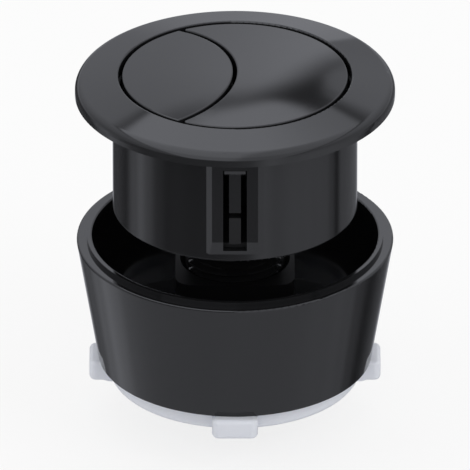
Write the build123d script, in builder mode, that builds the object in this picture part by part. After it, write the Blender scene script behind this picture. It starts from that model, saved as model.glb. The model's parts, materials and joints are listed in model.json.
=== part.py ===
from build123d import *
import math
import os

# Two-button cistern actuator, in millimetres.
# The origin is the centre of the flange's seat on the cistern lid, and +Z points up out of the lid.
# Nut and collar hang on the shank as they do before the actuator is clamped to a lid.

# Clearances
slide_gap = 0.3       # between pieces that slide in each other
thread_gap = 0.08     # round the shank in a nut, and in other close fits
seat_gap = 0.1        # between pieces that rest on each other and move apart
snap_gap = 0.25       # round snap fingers and keys

# Buttons
button_radius = 26.8
button_gap = 0.9      # between the two buttons, and round them
button_crown = 1.2    # height of the domed top over its edge
button_sink = 0.2     # of the buttons' edge below the bezel's inner edge
split_radius = 27.7   # of the arc that divides the buttons, through the head's centre
press_travel = 6.0
press_clear = 0.3     # left below a pressed piece
cap_plate = 1.5       # thickness of a cap at its edge
cap_skirt = 5.4       # length of a cap's skirt below its plate
cap_wall = 1.2
cap_edge_round = 0.35
tip_round = 0.6

# Bezel
bezel_radius = 38.0
bezel_edge = 3.0
bezel_rise = 2.1
bezel_wall = 1.6
bezel_round = 2.2
bezel_lip = 1.2
finger_width = 2.8
finger_thickness = 0.7
finger_reach = 17.1   # below the seat
barb_width = 5.0
barb_depth = 1.0
barb_height = 1.6
barb_nose = 0.9       # height of the barb's front
barb_lean = 0.2       # of that front, inwards at its lower edge

# Housing
flange_thickness = 1.4
cup_play = 0.7        # round the buttons
cup_wall = 1.6
cup_depth = 29.9
cup_floor = 2.4
cup_round = 0.6
pad_width = 14.5      # at its root
pad_face_width = 10.9
pad_proud = 0.6
pad_top = 4.0         # below the seat
pad_foot = 27.8
pad_lead = 3.5        # height of the sloping lead-in at the pad's foot
window_width = 5.6
window_top = 5.2
window_foot = 26.8

# Shank
thread_radius = 12.0
thread_length = 39.9
shank_taper = 1.9
shank_tip_wall = 0.8

# Guide carrier, posts and screws
carrier_plate = 1.8
key_width = 2.8
key_top = 18.5        # below the seat
key_foot = 25.4
key_wall = 1.4
post_radius = 2.5
post_ratio = 0.558    # places of the posts, as shares of the buttons' radius
full_post_ratio = 0.409
screw_radius = 1.2
screw_length = 10.0
screw_head_radius = 3.0
screw_head_height = 1.5

# Sliders and springs
slider_plate = 1.6
sleeve_wall = 1.0
sleeve_foot = 12.0    # below the seat
shoulder_gap = 0.1    # under the screw's head
half_leg = (-5.75, 4.5, 6.0)      # place along X, width along X, depth along Y
full_leg = (10.0, 6.0, 8.0)
spring_wire = 0.8
spring_play = 0.5     # between a spring and its post

# Push tube, rod and foot
tube_radius = 8.8
tube_wall = 2.4
tube_head = 2.0
tube_head_width = 9.0
rod_rib = 2.0
rod_arm = 1.8
rod_arm_width = 7.0
rod_end = 3.0
rod_recess = 1.0      # of the rod's end inside the foot
foot_radius = 9.7
foot_height = 8.1
foot_floor = 2.0
foot_reach = 13.3     # below the shank's end
foot_chamfer = 0.6

# Square nut
square_side = 28.4
square_height = 12.5
square_corner = 4.0
square_lead = 1.0
square_drop = 14.1    # bare thread between the cup and the square nut

# Lock nut
nut_radius = 30.0
nut_edge = 6.0        # height of its outer wall
nut_edge_round = 1.2
nut_shelf = 2.4       # of the flat top round the bead
nut_wall = 2.2
nut_deck = 2.0
nut_recess = 6.6      # height of the recess floor
nut_foot_round = 1.5
bead_inset = 6.3      # of the bead's inner edge from the outer wall
bead_crest = 1.2
bead_round = 0.4
bead_height = 9.2
hub_wall = 3.2
hub_height = 9.7
hub_round = 0.8
nut_lead = 0.7
nut_ribs = 8
nut_rib = 1.6
nut_rib_rise = 1.0
lug_width = 10.9
lug_height = 5.1
lug_round = 1.8
lug_overhang = 2.1    # of the lugs outside the collar's foot
lock_hold = 4.8       # length of thread in the lock nut

# Collar
collar_height = 31.1
collar_wall = 2.3
collar_inset = 0.2    # of the collar's rim inside the bezel's edge
collar_play = 0.4     # round the lock nut's disc
ledge_width = 2.5
lip_width = 1.25
lip_height = 0.95     # over the ledge
bead_depth = 3.0      # height of the thickened rim below the ledge
collar_round = 0.4

# Sizes and levels that follow from those above
opening_radius = button_radius + button_gap
bezel_top = bezel_edge + bezel_rise
button_edge = bezel_top - button_sink
cap_under = button_edge - cap_plate
cap_foot = cap_under - cap_skirt
dome_radius = (button_radius**2 + button_crown**2) / (2 * button_crown)
dome_centre = button_edge + button_crown - dome_radius

cup_bore = button_radius + cup_play
cup_radius = cup_bore + cup_wall
pad_face = cup_radius + pad_proud
pad_root = math.sqrt(cup_radius**2 - (pad_width / 2) ** 2) - cup_wall / 4
floor_level = cup_floor - cup_depth
rim_bore = bezel_radius - bezel_wall
flange_radius = rim_bore - slide_gap
finger_outer = opening_radius + finger_thickness
channel_outer = finger_outer + snap_gap
channel_width = barb_width + 2 * snap_gap
barb_top = -window_top - snap_gap

shank_bore = tube_radius + slide_gap
thread_end = -cup_depth - thread_length
shank_end = thread_end - shank_taper
nut_bore = thread_radius + thread_gap
bead_radius = nut_radius - bead_inset

carrier_level = floor_level + carrier_plate
carrier_radius = cup_bore - slide_gap
post_reach = post_ratio * button_radius
half_posts = [(-post_reach, 0)]
full_posts = [(full_post_ratio * button_radius, side * post_reach) for side in (-1, 1)]
post_top = cap_under - press_travel - press_clear - screw_head_height
post_bore = post_radius + slide_gap / 2
head_bore = screw_head_radius + slide_gap
sleeve_radius = head_bore + sleeve_wall
shoulder_level = post_top - shoulder_gap
spring_bore = post_radius + spring_play

foot_level = shank_end - foot_reach
tube_bore = tube_radius - tube_wall
rod_radius = tube_bore - slide_gap
rod_level = cap_foot - press_travel - 2 * press_clear
tube_level = rod_level - rod_arm - press_travel - 2 * press_clear
tube_foot = foot_level + foot_floor
rod_foot = foot_level + rod_recess

square_top = -cup_depth - square_drop
hub_radius = nut_bore + hub_wall
nut_foot = thread_end + lock_hold - hub_height
collar_foot = nut_foot + lug_height + seat_gap
collar_foot_radius = nut_radius + collar_play + collar_wall
collar_rim_radius = bezel_radius - collar_inset
lug_radius = collar_foot_radius + lug_overhang

os.makedirs("parts", exist_ok=True)


def half_outline(inset):
    """Draws the small button's lens, smaller all round by inset."""
    Circle(button_radius - inset)
    with Locations((-split_radius, 0)):
        Circle(split_radius - button_gap / 2 - inset, mode=Mode.INTERSECT)


def full_outline(inset):
    """Draws the large button's crescent, smaller all round by inset."""
    Circle(button_radius - inset)
    with Locations((-split_radius, 0)):
        Circle(split_radius + button_gap / 2 + inset, mode=Mode.SUBTRACT)


def cap_solid(outline):
    """Makes a hollow button cap with a domed top from its outline."""
    with BuildSketch(Plane.XY.offset(cap_foot)) as cap_plan:
        outline(0)
        fillet(cap_plan.vertices(), tip_round)
    extrude(cap_plan.sketch, amount=button_edge + button_crown - cap_foot)
    with Locations((0, 0, dome_centre)):
        Sphere(dome_radius, rotation=(90, 0, 0), mode=Mode.INTERSECT)
    with BuildSketch(Plane.XY.offset(cap_foot)) as hollow_plan:
        outline(cap_wall)
    extrude(hollow_plan.sketch, amount=cap_under - cap_foot, mode=Mode.SUBTRACT)


def slider_solid(outline, posts, leg, leg_foot):
    """Makes a slider: plate under the cap, sleeves over the posts and a leg that pushes down."""
    place, width, depth = leg
    with BuildSketch(Plane.XY.offset(cap_under)) as plate_plan:
        outline(cap_wall + slide_gap / 2)
    extrude(plate_plan.sketch, amount=-slider_plate)
    with BuildSketch(Plane.XY.offset(cap_under)) as leg_plan:
        with Locations((place, 0)):
            Rectangle(width, depth)
    extrude(leg_plan.sketch, amount=leg_foot - cap_under)
    for radius, foot, mode in (
        (sleeve_radius, -sleeve_foot, Mode.ADD),
        (post_bore, -sleeve_foot, Mode.SUBTRACT),
        (head_bore, shoulder_level, Mode.SUBTRACT),
    ):
        with BuildSketch(Plane.XY.offset(cap_under)) as sleeve_plan:
            with Locations(*posts):
                Circle(radius)
        extrude(sleeve_plan.sketch, amount=foot - cap_under, mode=mode)


# Bezel ring, with a snap finger front and back that hooks into the housing's window
with BuildPart() as bezel_ring:
    with BuildSketch(Plane.XZ) as bezel_section:
        with BuildLine():
            Polyline(
                (bezel_radius, 0),
                (bezel_radius, bezel_edge),
                (opening_radius, bezel_top),
                (opening_radius, flange_thickness),
                (opening_radius + bezel_lip, flange_thickness),
                (opening_radius + bezel_lip, bezel_top - bezel_wall),
                (rim_bore, bezel_edge - bezel_wall),
                (rim_bore, 0),
                close=True,
            )
        make_face()
        fillet(bezel_section.vertices().sort_by_distance((bezel_radius, bezel_edge))[0], bezel_round)
        fillet(bezel_section.vertices().sort_by_distance((opening_radius, bezel_top))[0], cap_edge_round)
    revolve(axis=Axis.Z)
    with BuildSketch(Plane.YZ):
        with BuildLine():
            Polyline(
                (-opening_radius, flange_thickness + bezel_lip),
                (-opening_radius, -finger_reach),
                (-finger_outer, -finger_reach),
                (-finger_outer, flange_thickness + bezel_lip),
                close=True,
            )
        make_face()
    extrude(amount=finger_width / 2, both=True)
    with BuildSketch(Plane.YZ):
        with BuildLine():
            Polyline(
                (-opening_radius, barb_top),
                (-finger_outer - barb_depth, barb_top),
                (-finger_outer - barb_depth + barb_lean, barb_top - barb_nose),
                (-finger_outer, barb_top - barb_height),
                (-opening_radius, barb_top - barb_height),
                close=True,
            )
        make_face()
    extrude(amount=barb_width / 2, both=True)
    mirror(about=Plane.XZ)
bezel_ring.part.label = "bezel_ring"
export_step(bezel_ring.part, "parts/bezel_ring.step")

# Housing: flange, cup and threaded shank in one moulding, with a window in a raised pad front and back
with BuildPart() as housing:
    with BuildSketch(Plane.XZ) as housing_section:
        with BuildLine():
            Polyline(
                (cup_bore, flange_thickness),
                (flange_radius, flange_thickness),
                (flange_radius, 0),
                (cup_radius, 0),
                (cup_radius, -cup_depth),
                (thread_radius, -cup_depth),
                (thread_radius, thread_end),
                (shank_bore + shank_tip_wall, shank_end),
                (shank_bore, shank_end),
                (shank_bore, floor_level),
                (cup_bore, floor_level),
                close=True,
            )
        make_face()
        fillet(housing_section.vertices().sort_by_distance((cup_radius, -cup_depth))[0], cup_round)
    revolve(axis=Axis.Z)
    with BuildSketch(Plane.XY.offset(-pad_foot)):
        with BuildLine():
            Polyline(
                (-pad_width / 2, -pad_root),
                (-pad_face_width / 2, -pad_face),
                (pad_face_width / 2, -pad_face),
                (pad_width / 2, -pad_root),
                close=True,
            )
        make_face()
    extrude(amount=pad_foot - pad_top)
    with BuildSketch(Plane.YZ):
        with BuildLine():
            Polyline(
                (-pad_face, pad_lead - pad_foot),
                (-cup_radius, -pad_foot),
                (-pad_face, -pad_foot),
                close=True,
            )
        make_face()
    extrude(amount=pad_width / 2, both=True, mode=Mode.SUBTRACT)
    mirror(about=Plane.XZ)
    for wall_plane in (Plane.front, Plane.back):
        with BuildSketch(wall_plane.offset(cup_bore - cup_wall)):
            with Locations((0, -(window_top + window_foot) / 2)):
                Rectangle(window_width, window_foot - window_top)
        extrude(amount=pad_face - cup_bore + 2 * cup_wall, mode=Mode.SUBTRACT)
        with BuildSketch(wall_plane.offset(cup_bore - cup_wall)):
            with Locations((0, (flange_thickness - window_top) / 2)):
                Rectangle(channel_width, flange_thickness + window_top)
        extrude(amount=channel_outer - cup_bore + cup_wall, mode=Mode.SUBTRACT)
housing.part.label = "housing"
export_step(housing.part, "parts/housing.step")

# Button caps
with BuildPart() as half_flush_cap:
    cap_solid(half_outline)
    fillet(half_flush_cap.faces().filter_by(GeomType.SPHERE).edges(), cap_edge_round)
half_flush_cap.part.label = "half_flush_cap"
export_step(half_flush_cap.part, "parts/half_flush_cap.step")

with BuildPart() as full_flush_cap:
    cap_solid(full_outline)
    fillet(full_flush_cap.faces().filter_by(GeomType.SPHERE).edges(), cap_edge_round)
full_flush_cap.part.label = "full_flush_cap"
export_step(full_flush_cap.part, "parts/full_flush_cap.step")

# Sliders
with BuildPart() as half_flush_slider:
    slider_solid(half_outline, half_posts, half_leg, rod_level)
half_flush_slider.part.label = "half_flush_slider"
export_step(half_flush_slider.part, "parts/half_flush_slider.step")

with BuildPart() as full_flush_slider:
    slider_solid(full_outline, full_posts, full_leg, tube_level)
full_flush_slider.part.label = "full_flush_slider"
export_step(full_flush_slider.part, "parts/full_flush_slider.step")

# Guide carrier: plate on the cup's floor, guide posts, and a key that stands in each window
with BuildPart() as guide_carrier:
    with BuildSketch(Plane.XY.offset(floor_level)):
        Circle(carrier_radius)
        Circle(shank_bore + slide_gap, mode=Mode.SUBTRACT)
    extrude(amount=carrier_plate)
    with BuildSketch(Plane.YZ):
        with BuildLine():
            Polyline(
                (-carrier_radius + key_wall, floor_level + carrier_plate / 2),
                (-carrier_radius + slide_gap, floor_level + carrier_plate / 2),
                (-carrier_radius + slide_gap, -key_foot),
                (-finger_outer, -key_foot),
                (-finger_outer, -key_top),
                (-carrier_radius + key_wall, -key_top),
                close=True,
            )
        make_face()
    extrude(amount=key_width / 2, both=True)
    mirror(about=Plane.XZ)
    with BuildSketch(Plane.XY.offset(carrier_level)):
        with Locations(*half_posts, *full_posts):
            Circle(post_radius)
    extrude(amount=post_top - carrier_level)
    with BuildSketch(Plane.XY.offset(post_top)):
        with Locations(*half_posts, *full_posts):
            Circle(screw_radius + thread_gap)
    extrude(amount=-screw_length - seat_gap, mode=Mode.SUBTRACT)
guide_carrier.part.label = "guide_carrier"
export_step(guide_carrier.part, "parts/guide_carrier.step")

# Retaining screws in the posts' tops, one group
with BuildPart() as slider_screws:
    with BuildSketch(Plane.XY.offset(post_top)):
        with Locations(*half_posts, *full_posts):
            Circle(screw_head_radius)
    extrude(amount=screw_head_height)
    with BuildSketch(Plane.XY.offset(post_top)):
        with Locations(*half_posts, *full_posts):
            Circle(screw_radius)
    extrude(amount=-screw_length)
slider_screws.part.label = "slider_screws"
export_step(slider_screws.part, "parts/slider_screws.step")

# Return springs round the posts, each drawn as the sleeve that its coil fills
spring_places = {
    "half_return_spring": half_posts[0],
    "full_return_spring_front": full_posts[0],
    "full_return_spring_rear": full_posts[1],
}
for spring_name, spring_place in spring_places.items():
    with BuildPart() as return_spring:
        with BuildSketch(Plane.XY.offset(carrier_level)):
            with Locations(spring_place):
                Circle(spring_bore + spring_wire)
                Circle(spring_bore, mode=Mode.SUBTRACT)
        extrude(amount=-sleeve_foot - carrier_level)
    return_spring.part.label = spring_name
    export_step(return_spring.part, f"parts/{spring_name}.step")

# Push tube of the full flush, with a tongue under the slider's leg
with BuildPart() as full_push_tube:
    with BuildSketch(Plane.XY.offset(tube_foot)):
        Circle(tube_radius)
    extrude(amount=tube_level - tube_foot)
    with BuildSketch(Plane.XY.offset(tube_level)):
        Rectangle(full_leg[0] + full_leg[1] / 2, tube_head_width, align=(Align.MIN, Align.CENTER))
    extrude(amount=-tube_head)
    with BuildSketch(Plane.XY.offset(tube_foot)):
        Circle(tube_bore)
    extrude(amount=tube_level - tube_foot, mode=Mode.SUBTRACT)
full_push_tube.part.label = "full_push_tube"
export_step(full_push_tube.part, "parts/full_push_tube.step")

# Foot that snaps on the push tube's end from below
with BuildPart() as push_tube_foot:
    with BuildSketch(Plane.XZ) as foot_section:
        with BuildLine():
            Polyline(
                (tube_bore, foot_level),
                (foot_radius, foot_level),
                (foot_radius, foot_level + foot_height),
                (tube_radius + thread_gap, foot_level + foot_height),
                (tube_radius + thread_gap, tube_foot),
                (tube_bore, tube_foot),
                close=True,
            )
        make_face()
        for edge_level in (foot_level, foot_level + foot_height):
            chamfer(foot_section.vertices().sort_by_distance((foot_radius, edge_level))[0], foot_chamfer)
    revolve(axis=Axis.Z)
push_tube_foot.part.label = "push_tube_foot"
export_step(push_tube_foot.part, "parts/push_tube_foot.step")

# Push rod of the half flush: cross-shaped rod in the tube, with an arm under the slider's leg
with BuildPart() as half_push_rod:
    with BuildSketch(Plane.XY.offset(rod_foot)):
        Circle(rod_radius)
    extrude(amount=rod_end)
    with BuildSketch(Plane.XY.offset(rod_foot)):
        Rectangle(2 * rod_radius, rod_rib)
        Rectangle(rod_rib, 2 * rod_radius)
        Circle(rod_radius, mode=Mode.INTERSECT)
    extrude(amount=rod_level - rod_foot)
    with BuildSketch(Plane.XY.offset(rod_level)):
        with Locations((half_leg[0] - half_leg[1] / 2, 0)):
            Rectangle(-half_leg[0] + half_leg[1], rod_arm_width, align=(Align.MIN, Align.CENTER))
    extrude(amount=-rod_arm)
half_push_rod.part.label = "half_push_rod"
export_step(half_push_rod.part, "parts/half_push_rod.step")

# Square nut on the thread
with BuildPart() as square_nut:
    with BuildSketch(Plane.XY.offset(square_top)):
        RectangleRounded(square_side, square_side, square_corner)
        Circle(nut_bore, mode=Mode.SUBTRACT)
    extrude(amount=-square_height)
    bore_edges = square_nut.edges().filter_by(GeomType.CIRCLE).group_by(SortBy.RADIUS)[-1]
    chamfer(bore_edges, square_lead)
square_nut.part.label = "square_nut"
export_step(square_nut.part, "parts/square_nut.step")

# Lock nut: threaded hub, deck with a sloping bead, hollow ribbed underside, and a lug on each side
with BuildPart() as lock_nut:
    with BuildSketch(Plane.XZ) as nut_section:
        with BuildLine():
            Polyline(
                (nut_bore + nut_lead, nut_foot),
                (nut_bore, nut_foot + nut_lead),
                (nut_bore, nut_foot + hub_height - nut_lead),
                (nut_bore + nut_lead, nut_foot + hub_height),
                (hub_radius, nut_foot + hub_height),
                (hub_radius, nut_foot + nut_recess),
                (bead_radius, nut_foot + nut_recess),
                (bead_radius, nut_foot + bead_height),
                (bead_radius + bead_crest, nut_foot + bead_height),
                (nut_radius - nut_shelf, nut_foot + nut_edge),
                (nut_radius, nut_foot + nut_edge),
                (nut_radius, nut_foot),
                (nut_radius - nut_wall, nut_foot),
                (nut_radius - nut_wall, nut_foot + nut_recess - nut_deck),
                (hub_radius, nut_foot + nut_recess - nut_deck),
                (hub_radius, nut_foot),
                close=True,
            )
        make_face()
        for corner, corner_round in (
            ((nut_radius, nut_foot), nut_foot_round),
            ((nut_radius, nut_foot + nut_edge), nut_edge_round),
            ((bead_radius + bead_crest, nut_foot + bead_height), bead_round),
            ((bead_radius, nut_foot + bead_height), bead_round),
            ((hub_radius, nut_foot + hub_height), hub_round),
        ):
            fillet(nut_section.vertices().sort_by_distance(corner)[0], corner_round)
    revolve(axis=Axis.Z)
    with BuildSketch(Plane.XY.offset(nut_foot + nut_rib_rise)):
        with PolarLocations((hub_radius + nut_radius - nut_wall) / 2, nut_ribs, start_angle=180 / nut_ribs):
            Rectangle(nut_radius - hub_radius, nut_rib)
    extrude(amount=nut_recess - nut_deck / 2 - nut_rib_rise)
    with BuildSketch(Plane.XY.offset(nut_foot)) as lug_plan:
        with PolarLocations(nut_radius - nut_wall + slide_gap, 4):
            Rectangle(
                lug_radius - nut_radius + nut_wall - slide_gap, lug_width, align=(Align.MIN, Align.CENTER)
            )
        lug_corners = lug_plan.vertices().filter_by(lambda v: math.hypot(v.X, v.Y) > collar_foot_radius)
        fillet(lug_corners, lug_round)
    extrude(amount=lug_height)
lock_nut.part.label = "lock_nut"
export_step(lock_nut.part, "parts/lock_nut.step")

# Collar: open tapered ring with a thickened rim, a ledge and a raised inner lip
with BuildPart() as collar:
    collar_top = collar_foot + collar_height
    lip_bore = collar_rim_radius - ledge_width - lip_width
    with BuildSketch(Plane.XZ) as collar_section:
        with BuildLine():
            Polyline(
                (collar_foot_radius, collar_foot),
                (collar_rim_radius, collar_top),
                (collar_rim_radius - ledge_width, collar_top),
                (collar_rim_radius - ledge_width, collar_top + lip_height),
                (lip_bore, collar_top + lip_height),
                (lip_bore, collar_top - bead_depth),
                (collar_rim_radius - collar_wall, collar_top - bead_depth - lip_width),
                (collar_foot_radius - collar_wall, collar_foot),
                close=True,
            )
        make_face()
        for corner in ((collar_rim_radius, collar_top), (lip_bore, collar_top + lip_height)):
            fillet(collar_section.vertices().sort_by_distance(corner)[0], collar_round)
    revolve(axis=Axis.Z)
collar.part.label = "collar"
export_step(collar.part, "parts/collar.step")
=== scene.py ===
import json
import math

import bmesh
import bpy
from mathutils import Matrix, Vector


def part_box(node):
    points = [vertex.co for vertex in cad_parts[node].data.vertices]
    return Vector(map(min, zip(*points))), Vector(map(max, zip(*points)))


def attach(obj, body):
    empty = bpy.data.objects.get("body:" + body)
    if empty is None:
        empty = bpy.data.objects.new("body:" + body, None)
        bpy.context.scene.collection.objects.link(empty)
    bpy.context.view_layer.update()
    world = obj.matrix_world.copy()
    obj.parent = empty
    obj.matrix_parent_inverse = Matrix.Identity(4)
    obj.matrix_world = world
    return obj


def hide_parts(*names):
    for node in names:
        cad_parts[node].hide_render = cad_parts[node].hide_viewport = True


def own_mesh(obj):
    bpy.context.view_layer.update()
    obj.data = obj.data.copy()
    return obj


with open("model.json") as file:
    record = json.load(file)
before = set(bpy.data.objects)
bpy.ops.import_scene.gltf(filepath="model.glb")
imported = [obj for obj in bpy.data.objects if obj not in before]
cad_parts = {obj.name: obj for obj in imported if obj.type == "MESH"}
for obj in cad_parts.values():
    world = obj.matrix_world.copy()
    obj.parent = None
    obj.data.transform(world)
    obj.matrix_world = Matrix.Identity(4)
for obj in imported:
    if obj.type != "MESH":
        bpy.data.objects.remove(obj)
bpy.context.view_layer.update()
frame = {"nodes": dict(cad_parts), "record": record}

nodes = frame["nodes"]
scene = bpy.context.scene

MM = 0.001

# Sizes that part.py gives too. Heights are measured from the flange's seat.
SHANK_RADIUS = 12.0 * MM
THREAD_TOP = -29.9 * MM
THREAD_END = -69.8 * MM
THREAD_PITCH = 2.0 * MM
CUP_BORE = 27.55 * MM
CUP_RADIUS = 29.1 * MM
FLANGE_MIDDLE = 0.7 * MM
PAD_FACE = 29.7 * MM        # distance of the pads' faces from the axis
SPRING_FOOT = -25.7 * MM
SPRING_TOP = -12.0 * MM
SPRING_RADIUS = 3.4 * MM
SPRING_WIRE = 0.8 * MM
NUT_RADIUS = 30.0 * MM
LUG_WIDTH = 10.9 * MM
LUG_HEIGHT = 5.1 * MM
LUG_CORNER = 1.8 * MM       # of the lugs' plan

# The thread, which only the scene has. Crest and root are shares of the pitch.
THREAD_CREST = 0.18
THREAD_ROOT = 0.17
THREAD_DEPTH = 1.2 * MM
THREAD_START = 0.6 * MM     # of plain shank under the cup
THREAD_RUN_IN = 0.8 * MM    # over which the groove deepens
LAND_REACH = 23.0           # degrees of plain land to each side of the X axis
LAND_FADE = 3.0             # degrees over which the groove deepens beside it

# The thread's cutter: a sleeve round the shank.
CUTTER_WALL = 2 * MM
CUTTER_TOP_GAP = 0.3 * MM
CUTTER_FOOT_LAP = 0.4 * MM
CUTTER_STEPS = 160

# The softened lugs, which only the scene has, and the blocks that cut them.
LUG_EDGE = 1.2 * MM         # radius along the lugs' edges
LUG_FADE = 1.5 * MM         # over which that radius grows, from the nut's wall outwards
LUG_CLEAR = 0.05 * MM       # of a block from the nut's wall
LUG_BLOCK = 3 * MM          # thickness of a block round its lug
FADE_STEPS = 4
ROUND_STEPS = 8

SPRING_TURNS = 7.0
SPRING_STEPS = 28           # in a turn
WIRE_STEPS = 10

# How exact the meshes are.
CUT_LAP = 0.02 * MM         # of a cutter outside what it leaves standing
WELD = 0.0005 * MM
WALL_SAG = 0.03 * MM        # of a facet inside its cylinder
PAD_SLACK = 0.01 * MM
UPRIGHT = 0.01              # largest Z in the normal of an upright facet
FRONTAL = 0.001             # largest X in the normal of a pad's face
SMOOTH_ANGLE = math.radians(32)

# The photograph's frame and the direction that it is taken from.
CAMERA_ELEVATION = math.radians(27.9)
CAMERA_DISTANCE = 4.0
CAMERA_NEAR = 0.01
SENSOR_WIDTH = 36.0
FRAME_WIDTH = 112 * MM
AIM = Vector((0.0, 0.0, -38.0 * MM))


# Meshes and objects
def new_object(name, data):
    """Makes an object in the scene from a mesh, a lamp or a camera."""
    obj = bpy.data.objects.new(name, data)
    scene.collection.objects.link(obj)
    return obj


def outward_mesh(name, bm):
    """Turns the faces outwards and makes a mesh of them."""
    bmesh.ops.recalc_face_normals(bm, faces=bm.faces)
    mesh = bpy.data.meshes.new(name)
    bm.to_mesh(mesh)
    bm.free()
    return mesh


def join_rings(bm, rings, closed=True):
    """Spans each ring of points and the next with faces, also from a ring's end to its start if closed."""
    for first, second in zip(rings, rings[1:]):
        for k in range(len(first) if closed else len(first) - 1):
            following = (k + 1) % len(first)
            bm.faces.new((first[k], first[following], second[following], second[k]))


def smooth(mesh):
    """Shades a mesh smooth, apart from its sharp edges."""
    if "custom_normal" in mesh.attributes:
        mesh.attributes.remove(mesh.attributes["custom_normal"])
    mesh.shade_smooth()
    mesh.set_sharp_from_angle(angle=SMOOTH_ANGLE)


def cut_copy(node_name, name, cutter):
    """Copies a node's solid and takes the cutter away from the copy."""
    bm = bmesh.new()
    bm.from_mesh(nodes[node_name].data)
    bmesh.ops.remove_doubles(bm, verts=bm.verts, dist=WELD)
    piece = new_object(name, outward_mesh(name, bm))
    cut = piece.modifiers.new("cut", "BOOLEAN")
    cut.operation = "DIFFERENCE"
    cut.solver = "MANIFOLD"
    cut.object = cutter
    depsgraph = bpy.context.evaluated_depsgraph_get()
    result = bpy.data.meshes.new_from_object(piece.evaluated_get(depsgraph))
    piece.modifiers.clear()
    piece.data = result
    bpy.data.objects.remove(cutter)
    return piece


# Materials
DRIFT_SCALE, DRIFT_DETAIL = 60.0, 3.0
GRAIN_SCALE, GRAIN_DETAIL = 900.0, 2.0
GRAIN_RELIEF = 0.05 * MM


def plastic(name, color, roughness, spread, grain=0.0, specular=0.5):
    """Makes a moulded plastic: fine grain as bump, and a roughness that drifts by the spread."""
    mat = bpy.data.materials.new(name)
    mat.use_nodes = True
    tree = mat.node_tree
    shader = tree.nodes["Principled BSDF"]
    shader.inputs["Base Color"].default_value = (*color, 1.0)
    shader.inputs["Roughness"].default_value = roughness
    shader.inputs["Specular IOR Level"].default_value = specular
    place = tree.nodes.new("ShaderNodeTexCoord")
    drift = tree.nodes.new("ShaderNodeTexNoise")
    drift.inputs["Scale"].default_value = DRIFT_SCALE
    drift.inputs["Detail"].default_value = DRIFT_DETAIL
    tree.links.new(place.outputs["Object"], drift.inputs["Vector"])
    levels = tree.nodes.new("ShaderNodeMapRange")
    levels.inputs["To Min"].default_value = roughness - spread
    levels.inputs["To Max"].default_value = roughness + spread
    tree.links.new(drift.outputs["Fac"], levels.inputs["Value"])
    tree.links.new(levels.outputs["Result"], shader.inputs["Roughness"])
    if grain:
        texture = tree.nodes.new("ShaderNodeTexNoise")
        texture.inputs["Scale"].default_value = GRAIN_SCALE
        texture.inputs["Detail"].default_value = GRAIN_DETAIL
        tree.links.new(place.outputs["Object"], texture.inputs["Vector"])
        bump = tree.nodes.new("ShaderNodeBump")
        bump.inputs["Strength"].default_value = grain
        bump.inputs["Distance"].default_value = GRAIN_RELIEF
        tree.links.new(texture.outputs["Fac"], bump.inputs["Height"])
        tree.links.new(bump.outputs["Normal"], shader.inputs["Normal"])
    return mat


def milky(name):
    """Makes a milky plastic, which lets light in a little way."""
    mat = plastic(name, (0.75, 0.77, 0.83), roughness=0.36, spread=0.03, grain=0.03)
    inputs = mat.node_tree.nodes["Principled BSDF"].inputs
    inputs["Subsurface Weight"].default_value = 0.15
    inputs["Subsurface Radius"].default_value = (1.0, 1.0, 1.1)
    inputs["Subsurface Scale"].default_value = 1.5 * MM
    return mat


def steel(name):
    """Makes bright spring steel."""
    mat = plastic(name, (0.56, 0.56, 0.58), roughness=0.32, spread=0.08)
    mat.node_tree.nodes["Principled BSDF"].inputs["Metallic"].default_value = 1.0
    return mat


satin_black = plastic("satin_black", (0.012, 0.0122, 0.0132), roughness=0.065, spread=0.012)
gloss_black = plastic("gloss_black", (0.008, 0.0081, 0.0088), roughness=0.08, spread=0.015)
matte_black = plastic(
    "matte_black", (0.005, 0.005, 0.0055), roughness=0.4, spread=0.05, grain=0.12, specular=0.12
)
carrier_black = plastic(
    "carrier_black", (0.010, 0.010, 0.0105), roughness=0.55, spread=0.05, grain=0.12, specular=0.3
)
inner_grey = plastic("inner_grey", (0.10, 0.10, 0.105), roughness=0.45, spread=0.05, grain=0.08)
milky_white = milky("milky_white")
spring_steel = steel("spring_steel")

FINISHES = {
    "satin_black_top": satin_black,
    "gloss_black_plastic": gloss_black,
    "matte_black_plastic": matte_black,
    "inner_plastic": inner_grey,
    "milky_white_plastic": milky_white,
    "spring_steel": spring_steel,
}
node_slots = {row["node"]: row["material_slot"] for row in frame["record"]["subparts"]}
for node_name, node in nodes.items():
    node.data.materials.clear()
    node.data.materials.append(FINISHES[node_slots[node_name]])
nodes["guide_carrier"].data.materials[0] = carrier_black


# Housing with its thread
def thread_depth(angle, level):
    """Gives the groove's depth at an angle and a height: none on the plain land at each side."""
    turn = (level / THREAD_PITCH - angle / (2 * math.pi)) % 1.0
    from_root = abs(turn - 0.5) * 2
    flank = (1 - THREAD_CREST - from_root) / (1 - THREAD_CREST - THREAD_ROOT)
    shape = min(1.0, max(0.0, flank))
    side = math.degrees(math.asin(min(1.0, abs(math.sin(angle)))))
    land = min(1.0, max(0.0, (side - LAND_REACH) / LAND_FADE))
    start = min(1.0, max(0.0, (THREAD_TOP - THREAD_START - level) / THREAD_RUN_IN))
    return THREAD_DEPTH * shape * land * start


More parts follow.
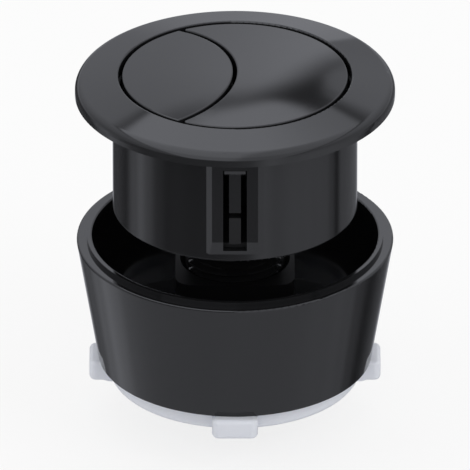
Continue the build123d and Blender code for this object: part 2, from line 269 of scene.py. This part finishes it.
def thread_cutter():
    """Makes the solid that cuts the thread: a sleeve round the shank with the thread as its inside.

    Its rings climb with the thread along the edges of crest and root, and lie flat at both ends.
    """
    top, foot = THREAD_TOP - CUTTER_TOP_GAP, THREAD_END - CUTTER_FOOT_LAP
    turns = range(math.floor(foot / THREAD_PITCH) - 2, math.ceil(top / THREAD_PITCH) + 2)
    edges = (THREAD_CREST / 2, (1 - THREAD_ROOT) / 2, (1 + THREAD_ROOT) / 2, 1 - THREAD_CREST / 2)
    shares = [step / CUTTER_STEPS for step in range(CUTTER_STEPS + 1)]
    bm = bmesh.new()

    def point(angle, radius, level):
        """Adds a point of the sleeve."""
        return bm.verts.new((radius * math.cos(angle), radius * math.sin(angle), level))

    rings = []
    for turn in turns:
        for edge in edges:
            ring = []
            for share in shares:
                angle = 2 * math.pi * share
                level = min(top, max(foot, (turn + edge + share) * THREAD_PITCH))
                ring.append(point(angle, SHANK_RADIUS + CUT_LAP - thread_depth(angle, level), level))
            rings.append(ring)
    for level in (top, foot):
        rings.append([point(2 * math.pi * share, SHANK_RADIUS + CUTTER_WALL, level) for share in shares])
    rings.append(rings[0])
    join_rings(bm, rings, closed=False)
    bmesh.ops.remove_doubles(bm, verts=bm.verts, dist=WELD)
    return new_object("thread_cutter", outward_mesh("thread_cutter", bm))


def true_normals(mesh):
    """Gives the cup's wall and the shank the normals of cylinders, and the pads those of flat faces."""
    normals = [Vector((0.0, 0.0, 0.0))] * len(mesh.loops)
    for face in mesh.polygons:
        corners = [mesh.vertices[index].co for index in face.vertices]
        on_wall = abs(face.normal.z) < UPRIGHT and any(
            all(abs(corner.xy.length - radius) < WALL_SAG for corner in corners)
            for radius in (CUP_RADIUS, SHANK_RADIUS)
        )
        on_pad = abs(face.normal.x) < FRONTAL and CUP_RADIUS < abs(face.center.y) < PAD_FACE + PAD_SLACK
        for loop, corner in zip(face.loop_indices, corners):
            if on_wall:
                normals[loop] = Vector((corner.x, corner.y, 0.0)).normalized()
            elif on_pad:
                normals[loop] = face.normal
    mesh.normals_split_custom_set(normals)


def threaded_housing():
    """Copies the housing's solid with the thread cut into its shank, and dulls the cup's inside."""
    piece = cut_copy("housing", "housing_threaded", thread_cutter())
    mesh = piece.data
    mesh.materials.clear()
    mesh.materials.append(gloss_black)
    mesh.materials.append(matte_black)
    for face in mesh.polygons:
        radius = math.hypot(face.center.x, face.center.y)
        in_cup = radius < CUP_BORE and face.center.z > THREAD_TOP
        face.material_index = 1 if in_cup or face.center.z > FLANGE_MIDDLE else 0
    smooth(mesh)
    true_normals(mesh)
    return piece


housing = threaded_housing()
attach(housing, "housing")
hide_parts("housing")


# Lock nut with softened lugs
def lug_rows(start, end):
    """Lists the outlines of a lug's cutter, from round its block to the end of its pocket.

    Each row is a distance from the axis, how far the outline is inset there in width and in height,
    and the radius of its corners.
    """
    rows = [(distance, -LUG_BLOCK, -LUG_BLOCK, LUG_EDGE) for distance in (end + LUG_BLOCK, start)]
    for step in range(FADE_STEPS + 1):
        share = step / FADE_STEPS
        rows.append((start + LUG_FADE * share, 0.0, 0.0, max(CUT_LAP, LUG_EDGE * share)))
    for step in range(ROUND_STEPS + 1):
        tilt = math.pi / 2 * step / ROUND_STEPS
        distance = end - LUG_CORNER * (1 - math.sin(tilt))
        narrowed = LUG_CORNER * (1 - math.cos(tilt))
        into_edge = max(0.0, distance - end + LUG_EDGE)
        lowered = LUG_EDGE - math.sqrt(LUG_EDGE ** 2 - into_edge ** 2)
        rows.append((distance, narrowed, lowered, max(CUT_LAP / 2, LUG_EDGE - lowered)))
    return rows


def rounded_outline(half_width, half_height, corner_radius):
    """Lists the points of a rectangle with round corners, as widths and heights."""
    points = []
    for corner, (side, rise) in enumerate(((1, 1), (-1, 1), (-1, -1), (1, -1))):
        for step in range(ROUND_STEPS + 1):
            turn = math.pi / 2 * (corner + step / ROUND_STEPS)
            points.append((
                side * (half_width - corner_radius) + corner_radius * math.cos(turn),
                rise * (half_height - corner_radius) + corner_radius * math.sin(turn),
            ))
    return points


def lug_cutters():
    """Makes a block round each lug of the lock nut, with a pocket in the shape of a softened lug."""
    low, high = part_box("lock_nut")
    half_width, half_height = LUG_WIDTH / 2 + CUT_LAP, LUG_HEIGHT / 2 + CUT_LAP
    rows = lug_rows(NUT_RADIUS + LUG_CLEAR, high.x + CUT_LAP)
    bm = bmesh.new()
    for quarter in range(4):
        turn = math.pi / 2 * quarter
        out = Vector((math.cos(turn), math.sin(turn), 0.0))
        across = Vector((-out.y, out.x, 0.0))
        rings = []
        for distance, narrowed, lowered, corner_radius in rows:
            middle = out * distance + Vector((0.0, 0.0, low.z + LUG_HEIGHT / 2))
            outline = rounded_outline(half_width - narrowed, half_height - lowered, corner_radius)
            rings.append([
                bm.verts.new(middle + across * width + Vector((0.0, 0.0, height)))
                for width, height in outline
            ])
        join_rings(bm, rings)
        bm.faces.new(rings[0])
        bm.faces.new(rings[-1])
    return new_object("lug_cutters", outward_mesh("lug_cutters", bm))


lock_nut = cut_copy("lock_nut", "lock_nut_softened", lug_cutters())
lock_nut.data.materials.clear()
lock_nut.data.materials.append(milky_white)
smooth(lock_nut.data)
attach(lock_nut, "lock_nut")
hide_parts("lock_nut")


# Return springs
def spring_coil(name, x, y):
    """Makes a compression spring with a flat turn at each end."""
    rise = SPRING_TOP - SPRING_FOOT - 3 * SPRING_WIRE
    steps = int(SPRING_TURNS * SPRING_STEPS)
    bm = bmesh.new()
    rings = []
    for step in range(steps + 1):
        turn = SPRING_TURNS * step / steps
        free = min(1.0, max(0.0, (turn - 1.0) / (SPRING_TURNS - 2.0)))
        closed = SPRING_WIRE * (min(turn, 1.0) + max(0.0, turn - (SPRING_TURNS - 1.0)))
        level = SPRING_FOOT + SPRING_WIRE / 2 + free * rise + closed
        angle = 2 * math.pi * turn
        ring = []
        for k in range(WIRE_STEPS):
            tilt = 2 * math.pi * k / WIRE_STEPS
            radius = SPRING_RADIUS + SPRING_WIRE / 2 * math.cos(tilt)
            ring.append(bm.verts.new((
                x + radius * math.cos(angle),
                y + radius * math.sin(angle),
                level + SPRING_WIRE / 2 * math.sin(tilt),
            )))
        rings.append(ring)
    join_rings(bm, rings)
    bm.faces.new(rings[0])
    bm.faces.new(rings[-1])
    mesh = outward_mesh(name, bm)
    mesh.materials.append(spring_steel)
    smooth(mesh)
    return new_object(name, mesh)


SPRINGS = (
    ("half_return_spring", "half_press"),
    ("full_return_spring_front", "full_press"),
    ("full_return_spring_rear", "full_press"),
)
for node_name, joint in SPRINGS:
    low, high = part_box(node_name)
    x, y = (low.x + high.x) / 2, (low.y + high.y) / 2
    coil = spring_coil(node_name + "_coil", x, y)
    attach(coil, "housing")
    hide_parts(node_name)
    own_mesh(coil)


# Shader nodes for the studio
def calculate(tree, operation, first, second):
    """Adds a math node on sockets or numbers and gives its output."""
    node = tree.nodes.new("ShaderNodeMath")
    node.operation = operation
    for socket, value in zip(node.inputs, (first, second)):
        if isinstance(value, (int, float)):
            socket.default_value = value
        else:
            tree.links.new(value, socket)
    return node.outputs[0]


def step_between(tree, value, low, high, start=0.0, end=1.0):
    """Adds a soft step of a value, from start at low to end at high."""
    node = tree.nodes.new("ShaderNodeMapRange")
    node.interpolation_type = "SMOOTHSTEP"
    for name, number in (("From Min", low), ("From Max", high), ("To Min", start), ("To Max", end)):
        node.inputs[name].default_value = number
    tree.links.new(value, node.inputs["Value"])
    return node.outputs["Result"]


def either_of(tree, share, first, second):
    """Adds a mix of two values: first where share is 0, second where it is 1."""
    node = tree.nodes.new("ShaderNodeMix")
    node.data_type = "FLOAT"
    factor, _, start, end = node.inputs[:4]
    for value, socket in ((share, factor), (first, start), (second, end)):
        tree.links.new(value, socket)
    return node.outputs["Result"]


def either_shader(tree, share, first, second):
    """Adds a mix of two shaders: first where share is 0, second where it is 1."""
    node = tree.nodes.new("ShaderNodeMixShader")
    for value, socket in zip((share, first, second), node.inputs):
        tree.links.new(value, socket)
    return node.outputs["Shader"]


def heading(azimuth, elevation):
    """Gives a direction: azimuth from straight behind the object towards its right, in degrees."""
    turn, rise = math.radians(azimuth), math.radians(elevation)
    return Vector((math.sin(turn) * math.cos(rise), math.cos(turn) * math.cos(rise), math.sin(rise)))


def side_of(tree, direction, first, second):
    """Adds the signed distance of a direction from the great circle through two headings."""
    node = tree.nodes.new("ShaderNodeVectorMath")
    node.operation = "DOT_PRODUCT"
    tree.links.new(direction, node.inputs[0])
    node.inputs[1].default_value = first.cross(second).normalized()
    return node.outputs["Value"]


def ring_of_panels(tree, azimuth, stops):
    """Adds a ramp of brightness round the object: stops are degrees from the front and brightness."""
    ramp = tree.nodes.new("ShaderNodeValToRGB")
    ramp.color_ramp.interpolation = "EASE"
    elements = ramp.color_ramp.elements
    while len(elements) > 1:
        elements.remove(elements[-1])
    for index, (degrees, level) in enumerate(stops):
        place = degrees / 360 + 0.5
        element = elements[0] if index == 0 else elements.new(place)
        element.position = place
        element.color = (level, level, level, 1.0)
    tree.links.new(azimuth, ramp.inputs["Fac"])
    return ramp.outputs["Color"]


def background(tree, color, strength):
    """Adds a background whose strength is a number or a socket, and gives its output."""
    node = tree.nodes.new("ShaderNodeBackground")
    node.inputs["Color"].default_value = color
    if isinstance(strength, float):
        node.inputs["Strength"].default_value = strength
    else:
        tree.links.new(strength, node.inputs["Strength"])
    return node.outputs["Background"]


# The room that the glossy plastic mirrors: two walls and a ceiling that meet behind the object, with a
# dark gap near the corner, and two rings of panels lower down.
CORNER = heading(2.3, 32.3)
CEILING_LEFT = heading(-13.2, 41.4)
CEILING_RIGHT = heading(13.6, 38.3)
SEAM_FOOT = heading(6.4, 13.4)
SEAM_BEND = heading(4.5, 27.5)
SEAM_TOP = heading(5.0, 32.0)
GAP_FOOT = heading(3.85, 26.1)
GAP_TOP = heading(2.4, 30.9)

# Soft steps in that room: where each starts and ends, as sines of angles, and the brightness there.
SEAM_BLUR = (-0.004, 0.006)
CEILING_BLUR = (-0.008, 0.02)
WALL_RISE = (-0.15, 0.8, 0.46, 1.36)
WALL_FOOT = (0.06, 0.20, 1.45, 1.0)
LEFT_WALL_ALONG = (-0.15, 0.03, 0.77, 1.27)
LEFT_WALL_TOP = (-0.05, 0.0, 1.0, 0.38)
GAP_SHADE = (-0.022, 0.022, 1.0, 0.06)
RIGHT_WALL_ALONG = (0.0, 0.14, 0.63, 0.76)
RIGHT_WALL_TOP = (-0.07, 0.0, 1.0, 0.20)
CEILING_RISE = (0.50, 0.78, 1.40, 1.90)
CEILING_ALONG = (-0.06, 0.12, 1.0, 0.66)
LOW_TO_MID = (-0.52, -0.48)
MID_TO_WALLS = (-0.10, 0.06)

# Panels of the two rings: degrees from the front towards the right, and brightness.
MID_RING = (
    (-180, 0.60), (-172, 0.45), (-162, 0.07), (-140, 0.11), (-126, 0.09), (-110, 0.50),
    (-100, 0.83), (-90, 0.61), (-78, 0.28), (-66, 0.15), (-56, 0.17), (-40, 0.14), (-16, 0.17),
    (0, 0.23), (8, 0.30), (26, 0.84), (40, 0.70), (56, 0.76), (70, 0.71), (84, 0.61), (96, 0.50),
    (104, 0.30), (112, 0.07), (120, 0.31), (130, 0.27), (144, 0.23), (160, 0.20), (172, 0.45),
    (180, 0.60),
)
LOW_RING = (
    (-180, 0.65), (-170, 0.45), (-160, 0.12), (-147, 0.20), (-132, 0.49), (-120, 0.84),
    (-108, 0.84), (-98, 0.68), (-78, 0.64), (-34, 0.69), (0, 0.72), (67, 0.67), (90, 0.57),
    (106, 0.42), (115, 0.21), (130, 0.05), (150, 0.12), (160, 0.15), (170, 0.45), (180, 0.65),
)


def mirrored_room(tree):
    """Adds the room's brightness by direction and gives its output."""
    toward = tree.nodes.new("ShaderNodeTexCoord").outputs["Generated"]
    parts = tree.nodes.new("ShaderNodeSeparateXYZ")
    tree.links.new(toward, parts.inputs[0])
    rise = parts.outputs["Z"]

    def product(first, second):
        """Adds the product of two values."""
        return calculate(tree, "MULTIPLY", first, second)

    def step(value, band):
        """Adds one of the soft steps."""
        return step_between(tree, value, *band)

    above_left = side_of(tree, toward, CORNER, CEILING_LEFT)
    above_right = side_of(tree, toward, CEILING_RIGHT, CORNER)
    right_of = calculate(
        tree, "MINIMUM",
        side_of(tree, toward, SEAM_FOOT, SEAM_BEND),
        side_of(tree, toward, SEAM_BEND, SEAM_TOP),
    )
    in_gap = side_of(tree, toward, GAP_FOOT, GAP_TOP)

    wall = product(step(rise, WALL_RISE), step(rise, WALL_FOOT))
    left_wall = product(
        step(right_of, LEFT_WALL_ALONG),
        product(step(above_left, LEFT_WALL_TOP), step(in_gap, GAP_SHADE)),
    )
    right_wall = product(step(right_of, RIGHT_WALL_ALONG), step(above_right, RIGHT_WALL_TOP))
    walls = product(wall, either_of(tree, step(right_of, SEAM_BLUR), left_wall, right_wall))
    ceiling = product(step(rise, CEILING_RISE), step(right_of, CEILING_ALONG))
    on_ceiling = product(step(above_left, CEILING_BLUR), step(above_right, CEILING_BLUR))
    upper = either_of(tree, on_ceiling, walls, ceiling)

    turn = calculate(tree, "ARCTAN2", parts.outputs["X"], product(parts.outputs["Y"], -1.0))
    azimuth = calculate(tree, "ADD", calculate(tree, "DIVIDE", turn, 2 * math.pi), 0.5)
    low_ring = ring_of_panels(tree, azimuth, LOW_RING)
    mid_ring = ring_of_panels(tree, azimuth, MID_RING)
    lower = either_of(tree, step(rise, LOW_TO_MID), low_ring, mid_ring)
    return either_of(tree, step(rise, MID_TO_WALLS), lower, upper)


# Studio: a white room with soft light, and a pale floor just under the foot
WHITE = (1.0, 1.0, 1.0, 1.0)
GLOSS_TINT = (0.90, 0.92, 1.0, 1.0)
AMBIENT = 0.75
PAPER = (0.9, 0.9, 0.9, 1.0)
GLOW_SHARE = 0.8            # of the floor's white in what the camera sees of it
FLOOR_LEVEL = -85.1 * MM
FLOOR_REACH = 3.0

# Each lamp's place, size and power.
LAMPS = {
    "lamp_right": ((0.7, -0.5, 0.6), 0.5, 1.8),
    "lamp_left": ((-0.9, -0.2, 0.5), 0.5, 0.9),
    "lamp_top": ((0.0, 0.3, 1.0), 0.8, 1.6),
}


def studio_world():
    """Makes the world: white to the camera, the mirrored room to gloss and even light to the rest."""
    world = bpy.data.worlds.new("studio")
    world.use_nodes = True
    tree = world.node_tree
    tree.nodes.clear()
    ray = tree.nodes.new("ShaderNodeLightPath").outputs
    lit = either_shader(
        tree, ray["Is Glossy Ray"],
        background(tree, WHITE, AMBIENT), background(tree, GLOSS_TINT, mirrored_room(tree)),
    )
    straight = calculate(tree, "MAXIMUM", ray["Is Camera Ray"], ray["Is Transmission Ray"])
    seen = either_shader(tree, straight, lit, background(tree, WHITE, 1.0))
    tree.links.new(seen, tree.nodes.new("ShaderNodeOutputWorld").inputs["Surface"])
    return world


def floor_paper():
    """Makes the floor's material: nearly white to the camera, with shadows, and clear from below."""
    mat = bpy.data.materials.new("studio_floor")
    mat.use_nodes = True
    tree = mat.node_tree
    tree.nodes.clear()
    paper = tree.nodes.new("ShaderNodeBsdfDiffuse")
    paper.inputs["Color"].default_value = PAPER
    glow = tree.nodes.new("ShaderNodeEmission")
    glow.inputs["Color"].default_value = WHITE
    glow.inputs["Strength"].default_value = 1.0
    ray = tree.nodes.new("ShaderNodeLightPath").outputs
    share = calculate(tree, "MULTIPLY", ray["Is Camera Ray"], GLOW_SHARE)
    topside = either_shader(tree, share, paper.outputs["BSDF"], glow.outputs["Emission"])
    from_below = tree.nodes.new("ShaderNodeNewGeometry").outputs["Backfacing"]
    clear = tree.nodes.new("ShaderNodeBsdfTransparent").outputs["BSDF"]
    surface = either_shader(tree, from_below, topside, clear)
    tree.links.new(surface, tree.nodes.new("ShaderNodeOutputMaterial").inputs["Surface"])
    return mat


def studio_floor():
    """Makes the floor, which the glossy plastic doesn't mirror."""
    mesh = bpy.data.meshes.new("studio_floor")
    corners = ((-1, -1), (1, -1), (1, 1), (-1, 1))
    mesh.from_pydata(
        [(x * FLOOR_REACH, y * FLOOR_REACH, FLOOR_LEVEL) for x, y in corners], [], [(0, 1, 2, 3)]
    )
    mesh.materials.append(floor_paper())
    obj = new_object("studio_floor", mesh)
    obj.visible_glossy = False
    return obj


def add_lamp(name, place, size, power):
    """Adds a square soft lamp that faces the camera's aim."""
    data = bpy.data.lights.new(name, "AREA")
    data.shape = "SQUARE"
    data.size = size
    data.energy = power
    obj = new_object(name, data)
    obj.location = place
    obj.rotation_euler = (AIM - Vector(place)).to_track_quat("-Z", "Y").to_euler()
    obj.visible_glossy = False


def add_camera():
    """Adds the camera, far off so that its view is nearly parallel, as the photograph's is."""
    data = bpy.data.cameras.new("camera")
    data.sensor_fit = "HORIZONTAL"
    data.sensor_width = SENSOR_WIDTH
    data.lens = SENSOR_WIDTH * CAMERA_DISTANCE / FRAME_WIDTH
    data.clip_start = CAMERA_NEAR
    obj = new_object("camera", data)
    towards = Vector((0.0, -math.cos(CAMERA_ELEVATION), math.sin(CAMERA_ELEVATION)))
    obj.location = AIM + towards * CAMERA_DISTANCE
    obj.rotation_euler = (-towards).to_track_quat("-Z", "Y").to_euler()
    scene.camera = obj


scene.world = studio_world()
floor = studio_floor()
for lamp_name, (place, size, power) in LAMPS.items():
    add_lamp(lamp_name, place, size, power)
add_camera()
scene.view_settings.view_transform = "Standard"
